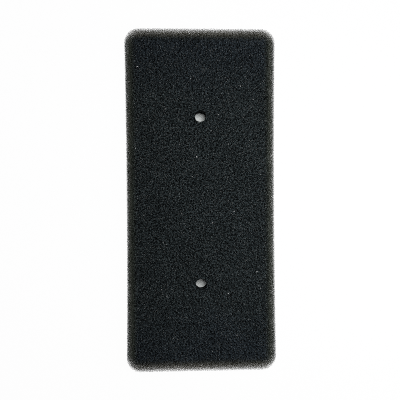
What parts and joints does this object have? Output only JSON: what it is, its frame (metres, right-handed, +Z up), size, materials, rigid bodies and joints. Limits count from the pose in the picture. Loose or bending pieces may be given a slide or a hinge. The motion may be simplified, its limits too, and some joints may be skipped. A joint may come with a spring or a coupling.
{
  "type": "sponge filter pad",
  "caption": "Flat rectangular pad of charcoal open-cell filter foam with rounded corners and round through-holes on its long centre line for locating pegs.",
  "frame": {"origin": "middle of the pad's lower face", "axes": "+X across the pad, +Y along it, +Z up through its thickness"},
  "size_m": [0.105, 0.24, 0.01],
  "materials": {
    "charcoal_foam": "matte"
  },
  "bodies": {
    "root": {"foam_pad": "charcoal_foam"}
  },
  "joints": []
}
